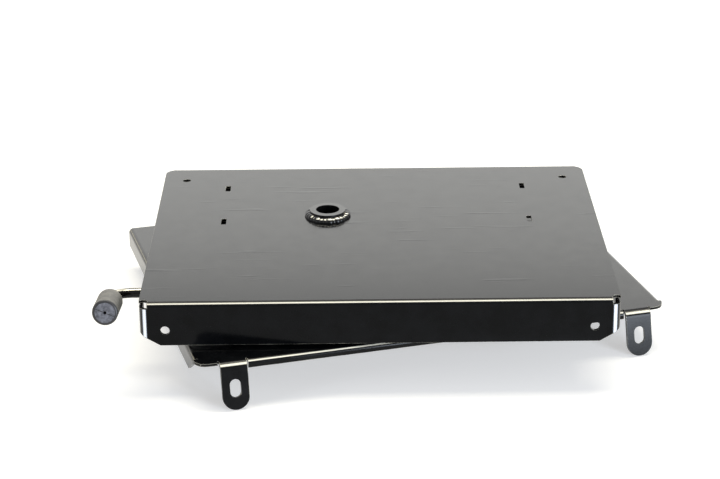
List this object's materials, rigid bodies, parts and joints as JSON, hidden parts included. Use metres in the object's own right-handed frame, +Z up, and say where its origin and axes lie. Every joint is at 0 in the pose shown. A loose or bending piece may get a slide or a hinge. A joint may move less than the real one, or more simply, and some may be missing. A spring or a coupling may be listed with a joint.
{
  "type": "seat swivel base",
  "caption": "Folded-sheet seat swivel: a flanged turntable plate turns on a hollow welded pivot over a tabbed base plate, with a sprung latch worked by a bent lever with a rubber grip.",
  "frame": {"origin": "on the swivel axis, level with the underside of the base plate", "axes": "+Z up along the swivel axis, +X to the right of the base plate, +Y to its rear"},
  "size_m": [0.5961, 0.4792, 0.1107],
  "materials": {
    "plate_paint": "gloss black powder coat",
    "pivot_paint": "gloss black powder coat over a welded joint",
    "rod_paint": "gloss black paint",
    "grip_rubber": "matt black moulded rubber",
    "slide_polymer": "black polyamide",
    "zinc_steel": "bright zinc plate",
    "spring_steel": "oiled spring steel"
  },
  "bodies": {
    "base": {"base_plate": "plate_paint", "support_ring": "plate_paint", "slide_ring": "slide_polymer", "pivot_collar": "plate_paint", "pivot_bush": "slide_polymer"},
    "turntable": {"top_plate": "plate_paint", "pivot_tube": "pivot_paint", "pivot_weld": "pivot_paint", "thrust_washer": "slide_polymer", "tab_washer": "zinc_steel", "lock_nut": "zinc_steel", "lever_bracket_outer": "plate_paint", "lever_bracket_inner": "plate_paint", "spring_block": "plate_paint", "latch_spring": "spring_steel", "spring_screws": "zinc_steel"},
    "lever": {"lever_rod": "rod_paint", "handle_grip": "grip_rubber", "latch_finger": "zinc_steel", "latch_pin": "spring_steel"}
  },
  "joints": [
    {"name": "swivel", "type": "hinge", "parent": "base", "child": "turntable", "pos_m": [0, 0, 0], "axis": [0, 0, 1], "continuous": true},
    {"name": "lever_press", "type": "hinge", "parent": "turntable", "child": "lever", "pos_m": [-0.16173, -0.12111, 0.033], "axis": [0.9643, -0.2647, 0], "range_deg": [0, 15], "stiffness_Nm_per_rad": 1.2, "springref_deg": -28.65, "deforming": ["latch_spring"]}
  ]
}
